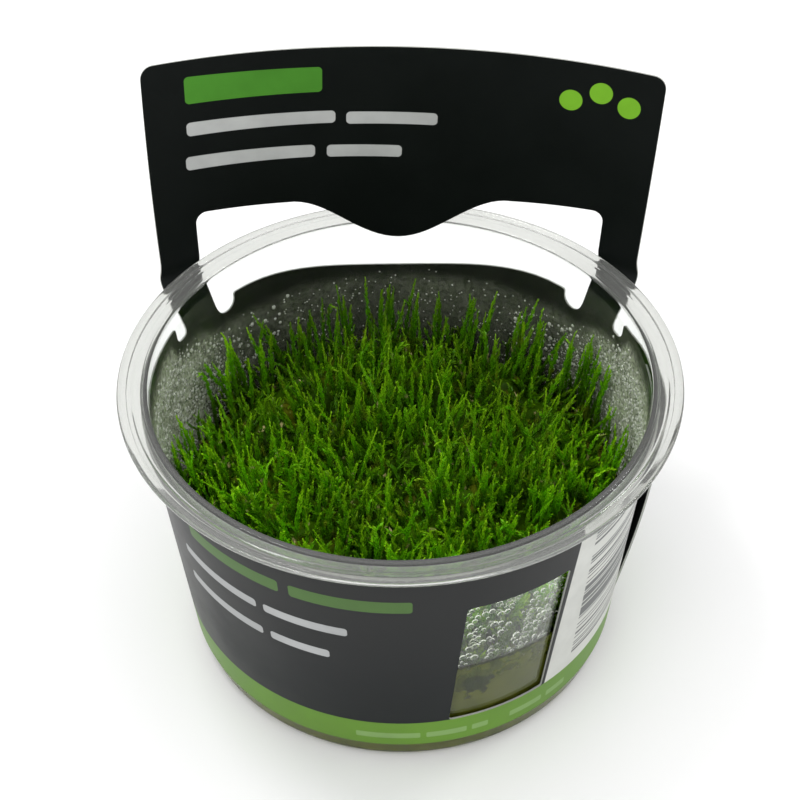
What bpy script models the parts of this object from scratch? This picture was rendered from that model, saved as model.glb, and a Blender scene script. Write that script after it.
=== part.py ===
"""Weeping moss grown on culture jelly, in a clear tapered cup with a printed card sleeve.

Metres, +Z up. The origin is the centre of the cup's base. The header of the sleeve stands
behind the cup at +Y, and its see-through window is in front, to the right.
"""

import math
import random

import bmesh
import bpy
from mathutils import Matrix, Vector

MM = 0.001
GAP = 0.3 * MM

# Cup: a moulded shell whose wall leans out towards a flanged rim
CUP_HEIGHT = 57.8 * MM
RIM_RADIUS = 49.5 * MM
MOUTH_RADIUS = 44.2 * MM
WALL = 0.8 * MM
TAPER = math.radians(5.47)
FLOOR = 1.0 * MM
FLOOR_CORNER = 1.2 * MM
BASE_CORNER = 1.5 * MM
CHANNEL_DEPTH = 0.4 * MM
LIP_WIDTH = 1.0 * MM
BEAD_WIDTH = 1.6 * MM
BEAD_DROP = 0.7 * MM
RIM_WALL = 0.5 * MM
RIM_EDGE = 0.3 * MM
RIM_EASE = 0.2 * MM
RIM_DRAFT = 0.2 * MM
ARC_INSET = 0.3
TURNED_STEPS = 48

# Contents: jelly in the lower part, and the moss that grows from it
GEL_TOP = 25.0 * MM
GEL_CORNER = 1.5 * MM
MAT_TOP = 37.0 * MM
MAT_EDGE_INSET = 2.0 * MM
MAT_EDGE_DROP = 2.5 * MM
MAT_STEPS = 40
MAT_RINGS = 7
LUMP_RISE = 1.6 * MM
LUMP_WAVES = (7.3 * MM, 9.1 * MM, 5.2 * MM)
LUMP_PHASES = (0.6, 1.3)
LUMP_CROSSING = 0.6

# Tufts: leaning bundles of shoots, spread over the mat and rooted inside it
TUFTS = 64
TUFT_SEED = 11
TUFT_SIDES = 5
TUFT_ROOT = 7.0 * MM
TUFT_EDGE = 5.0 * MM
TUFT_RADII = (3.6 * MM, 5.2 * MM)
TUFT_POINT = 0.5 * MM
TUFT_KNEE = 0.6
TUFT_BOW = 1.8 * MM
LEAN_OUT = 0.05
LEAN_SPREAD = 0.08
LOWEST_TIP = 40.0 * MM
HIGHEST_TIP = 50.5 * MM
TALLER_AT_BACK = 0.55
GOLDEN_ANGLE = math.radians(137.50776)

# Sleeve: one blank, measured flat along the wall and up from the cup's base
CARD = 0.35 * MM
FLAT_RADIUS = 45.1 * MM
BAND_BOTTOM = 4.6 * MM
BAND_TOP = 53.7 * MM
INNER_END = -278.0
OUTER_END = 96.0
BACK_DIP = 46.7 * MM
BACK_RISE = 3.8 * MM
INNER_NOTCH = 38.3 * MM
INNER_NOTCH_WIDTH = 5.0 * MM
INNER_NOTCH_FOOT = 47.4 * MM
OUTER_NOTCH = 51.7 * MM
OUTER_NOTCH_WIDTH = 3.6 * MM
OUTER_NOTCH_FOOT = 50.0 * MM
WINDOW_CORNERS = ((13.9, 44.3), (39.3, 44.0), (36.8, 11.5), (11.05, 11.5))
CUT_CORNER = 0.6 * MM
END_CORNER = 0.8 * MM
BAND_SHOULDER = 4.0 * MM
NOTCH_ROUNDNESS = 0.9

# Header: the upright panel that the two arms carry
HEADER_HALF = 47.2 * MM
HEADER_TOP = 96.8 * MM
HEADER_ARCH = 1.3 * MM
HEADER_CORNER = 2.4 * MM
ARM_INNER = 39.3 * MM
ARM_NECK = 57.5 * MM
ARM_CURVE = 8.0 * MM
SHOULDER = 66.3 * MM
SHOULDER_CORNER = 2.0 * MM
ARCH_SLOPE = 0.1
TONGUE_TIP = 54.4 * MM
TONGUE_RISE = 10.2 * MM
TONGUE_HALF = 21.5 * MM
ARM_BEND_START = 0.2 * MM
ARM_BEND_END = 56.2 * MM
HEADER_DEPTH = 43.2 * MM
BEND_RADIUS_AT_RIM = 80.6 * MM
BEND_RADIUS_AT_TOP = 171.0 * MM
TWIST_AT_TOP = math.radians(-3.4)
SWAY_AT_TOP = 1.3 * MM

# Overlap of the blank's two ends, where the outer end stands off a little
OVERLAP_STEP = CARD + GAP
OVERLAP_RAMP = (70.0, 79.0)
BULGE = 1.9 * MM
BULGE_HEIGHTS = (5.0 * MM, 62.0 * MM)

# Lines at which the flat blank is cut so that it can bend
CREASE_ANGLE = 7.5
HEADER_CREASES = (49.0, 50.5, 52.0, 53.5, 55.0, 56.5, 61.0, 70.0, 80.0, 89.0)
BULGE_CREASES = (6.0, 12.0, 20.0, 28.0, 36.0, 44.0, 50.0)
CLOSE = 0.001 * MM
TOLERANCE = 0.1 * MM


def clear_scene():
    for obj in list(bpy.data.objects):
        bpy.data.objects.remove(obj, do_unlink=True)


def collection_named(name):
    made = bpy.data.collections.new(name)
    bpy.context.scene.collection.children.link(made)
    return made


def material(name, colour, roughness, transmission=0.0):
    made = bpy.data.materials.new(name)
    made.use_nodes = True
    shader = made.node_tree.nodes["Principled BSDF"]
    shader.inputs["Base Color"].default_value = (*colour, 1.0)
    shader.inputs["Roughness"].default_value = roughness
    shader.inputs["Metallic"].default_value = 0.0
    shader.inputs["Transmission Weight"].default_value = transmission
    return made


def smooth_step(value):
    value = min(max(value, 0.0), 1.0)
    return value * value * (3.0 - 2.0 * value)


def inner_radius(z):
    return MOUTH_RADIUS - (CUP_HEIGHT - z) * math.tan(TAPER)


def outer_radius(z):
    return inner_radius(z) + WALL


def turned(name, profile, collection, steps=TURNED_STEPS):
    """A solid turned about Z from (radius, height) points that run down its outer side."""
    mesh = bpy.data.meshes.new(name)
    mesh.from_pydata([(radius, 0.0, z) for radius, z in profile],
                     [(i, i + 1) for i in range(len(profile) - 1)], [])
    obj = bpy.data.objects.new(name, mesh)
    collection.objects.link(obj)
    screw = obj.modifiers.new("Turn", "SCREW")
    screw.axis = "Z"
    screw.steps = steps
    screw.render_steps = steps
    screw.use_smooth_shade = True
    screw.use_merge_vertices = True
    screw.merge_threshold = 10 * CLOSE
    return obj


def cup_profile():
    """From the middle of the floor, up the inside, over the rim and down the outside."""
    lip_end = MOUTH_RADIUS + LIP_WIDTH
    bead_start = RIM_RADIUS - BEAD_WIDTH
    bead_foot = CUP_HEIGHT - BEAD_DROP
    channel = CUP_HEIGHT - CHANNEL_DEPTH
    underside = channel - RIM_WALL
    floor_arc = FLOOR_CORNER * ARC_INSET
    rim_arc = RIM_EDGE * ARC_INSET
    base_arc = BASE_CORNER * ARC_INSET
    return [
        (0.0, FLOOR),
        (inner_radius(FLOOR) - FLOOR_CORNER, FLOOR),
        (inner_radius(FLOOR) - floor_arc, FLOOR + floor_arc),
        (inner_radius(FLOOR + FLOOR_CORNER), FLOOR + FLOOR_CORNER),
        (inner_radius(CUP_HEIGHT - RIM_EDGE), CUP_HEIGHT - RIM_EDGE),
        (MOUTH_RADIUS + RIM_EASE, CUP_HEIGHT),
        (lip_end - RIM_EASE, CUP_HEIGHT),
        (lip_end + RIM_DRAFT, channel),
        (bead_start - RIM_DRAFT, channel),
        (bead_start + RIM_EASE, CUP_HEIGHT),
        (RIM_RADIUS - RIM_EDGE, CUP_HEIGHT),
        (RIM_RADIUS - rim_arc, CUP_HEIGHT - rim_arc),
        (RIM_RADIUS, CUP_HEIGHT - RIM_EDGE),
        (RIM_RADIUS, bead_foot + RIM_EDGE),
        (RIM_RADIUS - RIM_EASE, bead_foot),
        (RIM_RADIUS - WALL, underside),
        (outer_radius(underside) + RIM_EDGE, underside),
        (outer_radius(underside - RIM_EDGE), underside - RIM_EDGE),
        (outer_radius(BASE_CORNER), BASE_CORNER),
        (outer_radius(0.0) - base_arc, base_arc),
        (outer_radius(0.0) - BASE_CORNER, 0.0),
        (0.0, 0.0),
    ]


def gel_profile():
    foot = FLOOR + GAP
    return [
        (0.0, GEL_TOP),
        (inner_radius(GEL_TOP) - GAP, GEL_TOP),
        (inner_radius(foot + GEL_CORNER) - GAP, foot + GEL_CORNER),
        (inner_radius(foot) - GAP - GEL_CORNER, foot),
        (0.0, foot),
    ]


def mat_profile():
    """The moss mat without its tufts: rings over the top, a rounded edge and a flat foot."""
    foot = GEL_TOP + GAP
    edge = inner_radius(foot) - 2 * GAP
    shoulder = edge - MAT_EDGE_INSET
    top = [(shoulder * i / MAT_RINGS, MAT_TOP) for i in range(MAT_RINGS + 1)]
    return top + [(edge, MAT_TOP - MAT_EDGE_DROP), (edge, foot), (0.0, foot)]


def lump(x, y):
    """How far the mat rises at a place, as slow waves across it."""
    along_x, along_y, crossing = LUMP_WAVES
    first, second = LUMP_PHASES
    waves = math.sin(x / along_x + first) * math.cos(y / along_y)
    return LUMP_RISE * (waves + LUMP_CROSSING * math.sin((x + y) / crossing + second))


def tuft(name, index, chance, collection):
    """One leaning bundle of shoots, rooted inside the mat."""
    reach = inner_radius(MAT_TOP) - TUFT_EDGE
    radius = reach * math.sqrt((index + 0.5) / TUFTS)
    angle = index * GOLDEN_ANGLE
    foot = Vector((radius * math.cos(angle), radius * math.sin(angle), MAT_TOP - TUFT_ROOT))
    towards_back = (1.0 + foot.y / reach) / 2
    share = TALLER_AT_BACK * towards_back + (1.0 - TALLER_AT_BACK) * chance.random()
    height = LOWEST_TIP + (HIGHEST_TIP - LOWEST_TIP) * share - foot.z
    lean = LEAN_OUT * radius / reach + chance.uniform(-LEAN_SPREAD, LEAN_SPREAD)
    bow = Vector((chance.uniform(-TUFT_BOW, TUFT_BOW), chance.uniform(-TUFT_BOW, TUFT_BOW), 0.0))
    bm = bmesh.new()
    bmesh.ops.create_cone(bm, cap_ends=True, segments=TUFT_SIDES, radius1=chance.uniform(*TUFT_RADII),
                          radius2=TUFT_POINT, depth=height)
    bmesh.ops.translate(bm, vec=(0.0, 0.0, height / 2), verts=bm.verts)
    whole = bm.verts[:] + bm.edges[:] + bm.faces[:]
    knee = (0.0, 0.0, height * TUFT_KNEE)
    bmesh.ops.bisect_plane(bm, geom=whole, plane_co=knee, plane_no=(0.0, 0.0, 1.0))
    for vertex in bm.verts:
        vertex.co += bow * (vertex.co.z / height) ** 2
    turn = Matrix.Rotation(angle, 4, "Z") @ Matrix.Rotation(lean, 4, "Y")
    bmesh.ops.transform(bm, matrix=Matrix.Translation(foot) @ turn, verts=bm.verts)
    mesh = bpy.data.meshes.new(name)
    bm.to_mesh(mesh)
    bm.free()
    obj = bpy.data.objects.new(name, mesh)
    obj.hide_render = True
    obj.display_type = "WIRE"
    collection.objects.link(obj)


def make_moss(collection, helpers):
    """The mat with lumps on its top, joined with its tufts in one body."""
    turned_mat = turned("mat", mat_profile(), helpers, steps=MAT_STEPS)
    bpy.context.view_layer.update()
    evaluated = turned_mat.evaluated_get(bpy.context.evaluated_depsgraph_get())
    mesh = bpy.data.meshes.new_from_object(evaluated)
    mesh.name = "moss"
    bpy.data.objects.remove(turned_mat)
    for vertex in mesh.vertices:
        if vertex.co.z > MAT_TOP - TOLERANCE:
            vertex.co.z += lump(vertex.co.x, vertex.co.y)
    moss = bpy.data.objects.new("moss", mesh)
    collection.objects.link(moss)
    tufts = bpy.data.collections.new("tufts")
    helpers.children.link(tufts)
    chance = random.Random(TUFT_SEED)
    for index in range(TUFTS):
        tuft(f"tuft_{index + 1:02d}", index, chance, tufts)
    union = moss.modifiers.new("Tufts", "BOOLEAN")
    union.operation = "UNION"
    union.operand_type = "COLLECTION"
    union.collection = tufts
    union.solver = "EXACT"
    return moss


def along(angle):
    """Distance along the flat blank for an angle in degrees, with 0 at the back."""
    return FLAT_RADIUS * math.radians(angle)


def rounded(corners, steps=4):
    """Outline points from corners (along, up, radius), each turned into an arc."""
    points = []
    for index, (x, y, radius) in enumerate(corners):
        here = Vector((x, y))
        if radius <= 0.0:
            points.append(here)
            continue
        before = Vector(corners[index - 1][:2]) - here
        after = Vector(corners[(index + 1) % len(corners)][:2]) - here
        before.normalize()
        after.normalize()
        half = before.angle(after) / 2
        reach = radius / math.tan(half)
        centre = here + (before + after).normalized() * (radius / math.sin(half))
        first = here + before * reach - centre
        last = here + after * reach - centre
        sweep = first.angle_signed(last)
        for step in range(steps + 1):
            turn = Matrix.Rotation(-sweep * step / steps, 2)
            points.append(centre + turn @ first)
    return points


def mirrored(corners):
    return [(-x, y, radius) for x, y, radius in reversed(corners)]


def header_edge(s):
    return HEADER_TOP - HEADER_ARCH * (s / HEADER_HALF) ** 2


def wave_edge(s):
    """Lower edge of the header over the cut-out: a tongue between two shallow arches."""
    share = math.sin(math.pi / 2 * min(s / TONGUE_HALF, 1.0)) ** 2
    return TONGUE_TIP + TONGUE_RISE * share + ARCH_SLOPE * max(s - TONGUE_HALF, 0.0)


def back_edge(s):
    """Upper edge of the band behind the cup, between the inner notches."""
    return BACK_DIP + BACK_RISE * math.sin(math.pi / 2 * s / (INNER_NOTCH - BAND_SHOULDER)) ** 2


def blank_outline():
    half = OUTER_NOTCH_WIDTH / 2
    right = [
        (along(OUTER_END), BAND_BOTTOM, END_CORNER),
        (along(OUTER_END), BAND_TOP, END_CORNER),
        (OUTER_NOTCH + half, BAND_TOP, CUT_CORNER),
        (OUTER_NOTCH + half, OUTER_NOTCH_FOOT, half * NOTCH_ROUNDNESS),
        (OUTER_NOTCH - half, OUTER_NOTCH_FOOT, half * NOTCH_ROUNDNESS),
        (HEADER_HALF, ARM_NECK, ARM_CURVE),
        (HEADER_HALF, header_edge(HEADER_HALF), HEADER_CORNER),
        (HEADER_HALF / 2, header_edge(HEADER_HALF / 2), 0.0),
    ]
    left = mirrored(right[2:])
    ends = [
        (along(INNER_END), BAND_TOP, END_CORNER),
        (along(INNER_END), BAND_BOTTOM, END_CORNER),
    ]
    return rounded(right + [(0.0, HEADER_TOP, 0.0)] + left + ends)


def cut_out_outline():
    """The opening under the header: tongue edge, arms' inner edges, notches and band edge."""
    half = INNER_NOTCH_WIDTH / 2
    wave = [(TONGUE_HALF * i / 8, wave_edge(TONGUE_HALF * i / 8), 0.0) for i in range(1, 9)]
    band_end = INNER_NOTCH - BAND_SHOULDER
    band = [(band_end * i / 6, back_edge(band_end * i / 6), 0.0) for i in range(6, 0, -1)]
    right = wave + [
        (ARM_INNER, SHOULDER, SHOULDER_CORNER),
        (ARM_INNER, ARM_NECK, ARM_CURVE),
        (INNER_NOTCH + half, INNER_NOTCH_FOOT, half * NOTCH_ROUNDNESS),
        (INNER_NOTCH - half, INNER_NOTCH_FOOT, half * NOTCH_ROUNDNESS),
        (INNER_NOTCH - half, BACK_DIP + BACK_RISE, CUT_CORNER),
    ] + band
    middle_top = [(0.0, TONGUE_TIP, 0.0)]
    middle_bottom = [(0.0, BACK_DIP, 0.0)]
    return rounded(middle_top + right + middle_bottom + mirrored(right))


def window_outline():
    corners = [(along(-180.0 - angle), height * MM, CUT_CORNER) for angle, height in WINDOW_CORNERS]
    return rounded(corners)


def flat_blank(collection):
    """The die-cut blank lying flat: X runs along the wall, Y runs up and Z is its thickness."""
    curve = bpy.data.curves.new("blank", "CURVE")
    curve.dimensions = "2D"
    curve.fill_mode = "BOTH"
    curve.extrude = CARD / 2
    for outline in (blank_outline(), cut_out_outline(), window_outline()):
        spline = curve.splines.new("POLY")
        spline.points.add(len(outline) - 1)
        for point, (x, y) in zip(spline.points, outline):
            point.co = (x, y, 0.0, 1.0)
        spline.use_cyclic_u = True
    flat = bpy.data.objects.new("blank", curve)
    collection.objects.link(flat)
    bpy.context.view_layer.update()
    evaluated = flat.evaluated_get(bpy.context.evaluated_depsgraph_get())
    mesh = bpy.data.meshes.new_from_object(evaluated)
    bpy.data.objects.remove(flat)
    return mesh


def crease(bm, place, direction, first=-math.inf, last=math.inf):
    """Cuts the blank along one straight line, between two places on X, so that it can bend there."""
    faces = [face for face in bm.faces if first < face.calc_center_median().x < last]
    chosen = {part for face in faces for part in (face, *face.edges, *face.verts)}
    bmesh.ops.bisect_plane(bm, geom=list(chosen), dist=CLOSE / 10, plane_co=place, plane_no=direction)


def band_point(s, z):
    """On the wrapped band: round the cup's wall, with the outer end passing over the inner."""
    angle = math.degrees(s / FLAT_RADIUS)
    first, last = OVERLAP_RAMP
    stand_off = OVERLAP_STEP * smooth_step((angle - first) / (last - first))
    low, high = BULGE_HEIGHTS
    if angle > last and low < z < high:
        swell = math.sin(math.pi * (z - low) / (high - low))
        stand_off += BULGE * swell * smooth_step((angle - last) / (OUTER_END - last))
    radius = outer_radius(z) + GAP + CARD / 2 + stand_off
    turn = math.radians(angle)
    return Vector((radius * math.sin(turn), radius * math.cos(turn), z))


def header_point(s, z):
    """On the upright header: a gentle arc that flattens, turns and sways a little on the way up."""
    up = (z - CUP_HEIGHT) / (HEADER_TOP - CUP_HEIGHT)
    bend = (1 - up) / BEND_RADIUS_AT_RIM + up / BEND_RADIUS_AT_TOP
    place = Vector((math.sin(s * bend) / bend, (math.cos(s * bend) - 1) / bend, 0.0))
    twist = Matrix.Rotation(TWIST_AT_TOP * max(up, 0.0), 3, "Z")
    return twist @ place + Vector((SWAY_AT_TOP * max(up, 0.0), HEADER_DEPTH, z))


def header_share(s, z):
    """0 on the band, 1 on the header, and in between on the lower part of the two arms."""
    if abs(s) > OUTER_NOTCH or (abs(s) < INNER_NOTCH and z < TONGUE_TIP - TOLERANCE):
        return 0.0
    across = min(max((abs(s) - INNER_NOTCH) / (OUTER_NOTCH - INNER_NOTCH), 0.0), 1.0)
    start = INNER_NOTCH_FOOT + (OUTER_NOTCH_FOOT - INNER_NOTCH_FOOT) * across + ARM_BEND_START
    end = ARM_BEND_END if abs(s) > INNER_NOTCH else TONGUE_TIP - TOLERANCE
    return smooth_step((z - start) / (end - start))


def wrapped(s, z, share):
    return band_point(s, z).lerp(header_point(s, z), share)


def make_sleeve(collection):
    """The flat blank creased along the wall and up, then wrapped round the cup."""
    mesh = flat_blank(collection)
    bm = bmesh.new()
    bm.from_mesh(mesh)
    bmesh.ops.remove_doubles(bm, verts=bm.verts, dist=CLOSE)
    turns = round((OUTER_END - INNER_END) / CREASE_ANGLE)
    for turn in range(1, turns):
        place = along(INNER_END + (OUTER_END - INNER_END) * turn / turns)
        crease(bm, (place, 0.0, 0.0), (1.0, 0.0, 0.0))
    for height in HEADER_CREASES:
        crease(bm, (0.0, height * MM, 0.0), (0.0, 1.0, 0.0), -OUTER_NOTCH, OUTER_NOTCH)
    for height in BULGE_CREASES:
        crease(bm, (0.0, height * MM, 0.0), (0.0, 1.0, 0.0), first=along(OVERLAP_RAMP[0]))
    bmesh.ops.triangulate(bm, faces=bm.faces)
    step = 10 * CLOSE
    for vertex in bm.verts:
        s, z, offset = vertex.co
        share = header_share(s, z)
        here = wrapped(s, z, share)
        ahead = wrapped(s + step, z, share) - here
        above = wrapped(s, z + step, header_share(s, z + step)) - here
        vertex.co = here + ahead.cross(above).normalized() * offset
    bm.to_mesh(mesh)
    bm.free()
    mesh.name = "sleeve"
    sleeve = bpy.data.objects.new("sleeve", mesh)
    collection.objects.link(sleeve)
    return sleeve


def build():
    clear_scene()
    parts = collection_named("tissue_culture_weeping_moss")
    helpers = collection_named("helpers")
    cup = turned("cup", cup_profile(), parts)
    gel = turned("nutrient_gel", gel_profile(), parts)
    moss = make_moss(parts, helpers)
    sleeve = make_sleeve(parts)
    cup.data.materials.append(material("clear plastic", (0.92, 0.95, 0.93), 0.05, 1.0))
    gel.data.materials.append(material("culture jelly", (0.30, 0.32, 0.14), 0.08, 0.6))
    moss.data.materials.append(material("moss green", (0.07, 0.18, 0.01), 0.55))
    sleeve.data.materials.append(material("printed card", (0.012, 0.014, 0.015), 0.4))


build()
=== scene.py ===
# %% [markdown]
# # Weeping moss grown in a culture cup
# Moss from a laboratory is sold in a clear cup, on a bed of jelly that feeds it. A card sleeve goes
# round the cup and rises behind it as a header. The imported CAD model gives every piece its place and
# size, and this script gives each the surface that the eye expects.

import math
import random

import bmesh
import bpy
from mathutils import Matrix, Vector


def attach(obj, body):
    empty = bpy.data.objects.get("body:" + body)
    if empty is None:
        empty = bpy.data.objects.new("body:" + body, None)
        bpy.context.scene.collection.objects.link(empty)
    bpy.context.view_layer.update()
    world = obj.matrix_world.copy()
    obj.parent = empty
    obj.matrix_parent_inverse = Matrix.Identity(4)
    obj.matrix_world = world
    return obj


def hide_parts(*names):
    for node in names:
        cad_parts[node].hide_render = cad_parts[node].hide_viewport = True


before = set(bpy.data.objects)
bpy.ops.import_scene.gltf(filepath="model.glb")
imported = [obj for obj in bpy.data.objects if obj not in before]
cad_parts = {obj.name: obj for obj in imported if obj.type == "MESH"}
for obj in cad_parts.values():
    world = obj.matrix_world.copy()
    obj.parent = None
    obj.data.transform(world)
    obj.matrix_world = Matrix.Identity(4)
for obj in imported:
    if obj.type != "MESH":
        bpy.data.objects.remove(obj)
bpy.context.view_layer.update()
MM = 0.001


def link(name, data):
    """A new object in the scene."""
    obj = bpy.data.objects.new(name, data)
    bpy.context.scene.collection.objects.link(obj)
    return obj


def link_mesh(name, points, edges, faces):
    mesh = bpy.data.meshes.new(name)
    mesh.from_pydata(points, edges, faces)
    return link(name, mesh)


def link_bmesh(name, bm):
    mesh = bpy.data.meshes.new(name)
    bm.to_mesh(mesh)
    bm.free()
    return link(name, mesh)


print("CAD nodes:", sorted(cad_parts))

# %% [markdown]
# ## The camera comes first
# The camera looks down into the cup, so the front rim, the moss and the header are all in view. A
# distance and two angles from the cup's middle place it, which are easier to correct than three turns.

# %% Camera
CAMERA_TARGET = Vector((-0.08, 0.0, 51.0)) * MM
CAMERA_DISTANCE = 320.08 * MM
CAMERA_DOWN = math.radians(42.87)
CAMERA_ROLL = math.radians(-0.62)
LENS = 81.0


def make_camera():
    forward = Vector((0.0, math.cos(CAMERA_DOWN), -math.sin(CAMERA_DOWN)))
    level = Vector((1.0, 0.0, 0.0))
    upright = level.cross(forward)
    right = math.cos(CAMERA_ROLL) * level + math.sin(CAMERA_ROLL) * upright
    up = -math.sin(CAMERA_ROLL) * level + math.cos(CAMERA_ROLL) * upright
    data = bpy.data.cameras.new("camera")
    data.lens = LENS
    data.sensor_width = 36.0
    data.clip_start = 0.01
    camera = link("camera", data)
    turn = Matrix((right, up, -forward)).transposed().to_4x4()
    camera.matrix_world = Matrix.Translation(CAMERA_TARGET - CAMERA_DISTANCE * forward) @ turn
    bpy.context.scene.camera = camera
    return camera


camera = make_camera()
print("camera at", [round(value, 4) for value in camera.location])

# %% [markdown]
# ## Small tools for materials
# Every finish here is built from nodes. One class adds a node, sets its values and joins it to others in
# one call. Another lets a node's output be added and multiplied as a number can, so that a long chain of
# nodes reads as one line of arithmetic.

# %% Node helpers


class Value:
    """A node's output, which takes +, -, * and / as numbers do."""

    def __init__(self, net, socket):
        self.net, self.socket = net, socket

    def __add__(self, other):
        return self.net.maths("ADD", self, other)

    def __sub__(self, other):
        return self.net.maths("SUBTRACT", self, other)

    def __mul__(self, other):
        return self.net.maths("MULTIPLY", self, other)

    def __truediv__(self, other):
        return self.net.maths("DIVIDE", self, other)

    def other(self, name):
        """Another output of the same node."""
        return Value(self.net, self.socket.node.outputs[name])

    def ramp(self, low, high, start=0.0, end=1.0):
        """start below low, end above high, and a soft step between them."""
        return self.net.add("ShaderNodeMapRange", {"Value": self, "From Min": low, "From Max": high,
                                                   "To Min": start, "To Max": end},
                            interpolation_type="SMOOTHSTEP")


class Net:
    """A node tree, with a short way to add each kind of node to it."""

    def __init__(self, tree):
        self.tree = tree

    def join(self, value, socket):
        """Gives the socket a plain value, or links an output to it."""
        if isinstance(value, Value):
            self.tree.links.new(value.socket, socket)
        else:
            socket.default_value = (*value, 1.0) if socket.type == "RGBA" else value

    def add(self, kind, inputs=None, output=0, **settings):
        """One output of a new node. An input is a value, an output or a list of outputs."""
        node = self.tree.nodes.new(kind)
        for name, value in settings.items():
            setattr(node, name, value)
        for key, values in (inputs or {}).items():
            for value in values if isinstance(values, list) else [values]:
                self.join(value, node.inputs[key])
        return Value(self, node.outputs[output])

    def maths(self, operation, first, second=0.0, clamp=False):
        return self.add("ShaderNodeMath", {0: first, 1: second}, operation=operation, use_clamp=clamp)

    def vector(self, operation, first, second=(0.0, 0.0, 0.0), scale=1.0, output="Vector"):
        return self.add("ShaderNodeVectorMath", {0: first, 1: second, 3: scale}, output,
                        operation=operation)

    def split(self, vector):
        x = self.add("ShaderNodeSeparateXYZ", {0: vector})
        return x, x.other("Y"), x.other("Z")

    def combine(self, x, y, z):
        return self.add("ShaderNodeCombineXYZ", {"X": x, "Y": y, "Z": z})

    def blend(self, share, first, second):
        return self.add("ShaderNodeMix", {0: share, 6: first, 7: second}, 2, data_type="RGBA")

    def noise(self, place, scale, detail=2.0, roughness=0.5):
        return self.add("ShaderNodeTexNoise", {"Vector": place, "Scale": scale, "Detail": detail,
                                               "Roughness": roughness}, "Fac")

    def finish(self, **values):
        """Sets inputs of the material's one shader."""
        for name, value in values.items():
            self.join(value, self.shader[name.replace("_", " ")])

    def bump(self, height, strength, distance):
        self.finish(Normal=self.add("ShaderNodeBump", {"Height": height, "Strength": strength,
                                                       "Distance": distance}, "Normal"))


def new_material(name, **values):
    """The net of a new material, with its shader's inputs and the object's place."""
    made = bpy.data.materials.new(name)
    made.use_nodes = True
    net = Net(made.node_tree)
    net.material, net.shader = made, made.node_tree.nodes["Principled BSDF"].inputs
    net.place = net.add("ShaderNodeTexCoord", output="Object")
    net.finish(**values)
    return net


def new_group(kind, name, inputs, outputs):
    """A node group. An input is given by its first value, or by its kind where it has none."""
    tree = bpy.data.node_groups.new(name, kind)
    for label, value in inputs.items():
        what = {float: "Float", int: "Int"}.get(type(value), value)
        socket = tree.interface.new_socket(label, in_out="INPUT", socket_type="NodeSocket" + what)
        if what != value:
            socket.default_value = value
    for label, what in outputs.items():
        tree.interface.new_socket(label, in_out="OUTPUT", socket_type="NodeSocket" + what)
    net = Net(tree)
    entry = tree.nodes.new("NodeGroupInput").outputs
    return (net, {label: Value(net, entry[label]) for label in inputs},
            tree.nodes.new("NodeGroupOutput").inputs)


print("node helpers ready")

# %% [markdown]
# ## Floor and light
# A clear cup shows what stands round it. A pale floor and a pale sky give its walls something bright to
# carry, and a soft lamp over the cup puts long highlights on the rim and small ones on the drops.

# %% Floor, sky and lamps
FLOOR_REACH = 1.5
FLOOR_CORNERS = [(x * FLOOR_REACH, y * FLOOR_REACH, 0.0) for x, y in ((-1, -1), (1, -1), (1, 1), (-1, 1))]
SKY_STRENGTH = 0.5
DAYLIGHT_SPREAD = math.radians(120.0)
LAMP_AIM = (0.0, 0.0, 0.04)
BOUNCES = 14


def make_light(name, kind, place, aim, **settings):
    """A lamp or a sun that shines from place towards aim."""
    data = bpy.data.lights.new(name, kind)
    for key, value in settings.items():
        setattr(data, key, value)
    light = link(name, data)
    light.location = place
    light.rotation_euler = (Vector(aim) - Vector(place)).to_track_quat("-Z", "Y").to_euler()


floor = link_mesh("floor", FLOOR_CORNERS, [], [(0, 1, 2, 3)])
floor.data.materials.append(
    new_material("pale floor", Base_Color=(0.945, 0.945, 0.945), Roughness=0.8).material)
world = bpy.data.worlds.new("studio")
world.use_nodes = True
sky = world.node_tree.nodes["Background"].inputs
sky["Color"].default_value = (1.0, 1.0, 1.0, 1.0)
sky["Strength"].default_value = SKY_STRENGTH
bpy.context.scene.world = world
make_light("daylight", "SUN", (-0.12, -0.25, 1.0), (0.0, 0.0, 0.0), energy=1.95, angle=DAYLIGHT_SPREAD)
make_light("overhead", "AREA", (-0.16, 0.06, 0.5), LAMP_AIM, energy=0.55, shape="DISK", size=0.12)
make_light("side", "AREA", (0.3, 0.12, 0.42), LAMP_AIM, energy=0.3, shape="DISK", size=0.1)
bpy.context.scene.view_settings.view_transform = "Standard"
bpy.context.scene.cycles.max_bounces = BOUNCES
bpy.context.scene.cycles.transmission_bounces = BOUNCES
bpy.context.scene.cycles.transparent_max_bounces = BOUNCES + 2
print("stage ready")

# %% [markdown]
# ## Shared effects as node groups
# Plastic, jelly and card all carry faint handling marks: tiny dents, and a gloss that comes and goes. A
# node group holds that effect once. Each material sets its size and strength.

# %% Group: handling marks


def handling_marks():
    net, entry, exits = new_group(
        "ShaderNodeTree", "handling marks",
        {"Place": "Vector", "Grain Scale": 3000.0, "Patch Scale": 60.0},
        {"Grain": "Float", "Patches": "Float"})
    patches = net.noise(entry["Place"], entry["Patch Scale"], detail=4.0, roughness=0.6)
    net.join(net.noise(entry["Place"], entry["Grain Scale"], detail=3.0), exits["Grain"])
    net.join(patches.ramp(0.3, 0.7), exits["Patches"])
    return net.tree


MARKS = handling_marks()


def marks(net, grain_scale, patch_scale):
    """Fine grain and broad patches."""
    grain = net.add("ShaderNodeGroup", {"Place": net.place, "Grain Scale": grain_scale,
                                        "Patch Scale": patch_scale}, node_tree=MARKS)
    return grain, grain.other("Patches")


print("group:", MARKS.name)

# %% Group: one block of print
BLOCK_INPUTS = ("Across", "Up", "Left", "Right", "Bottom", "Top", "Corner", "Tilt")


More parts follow.
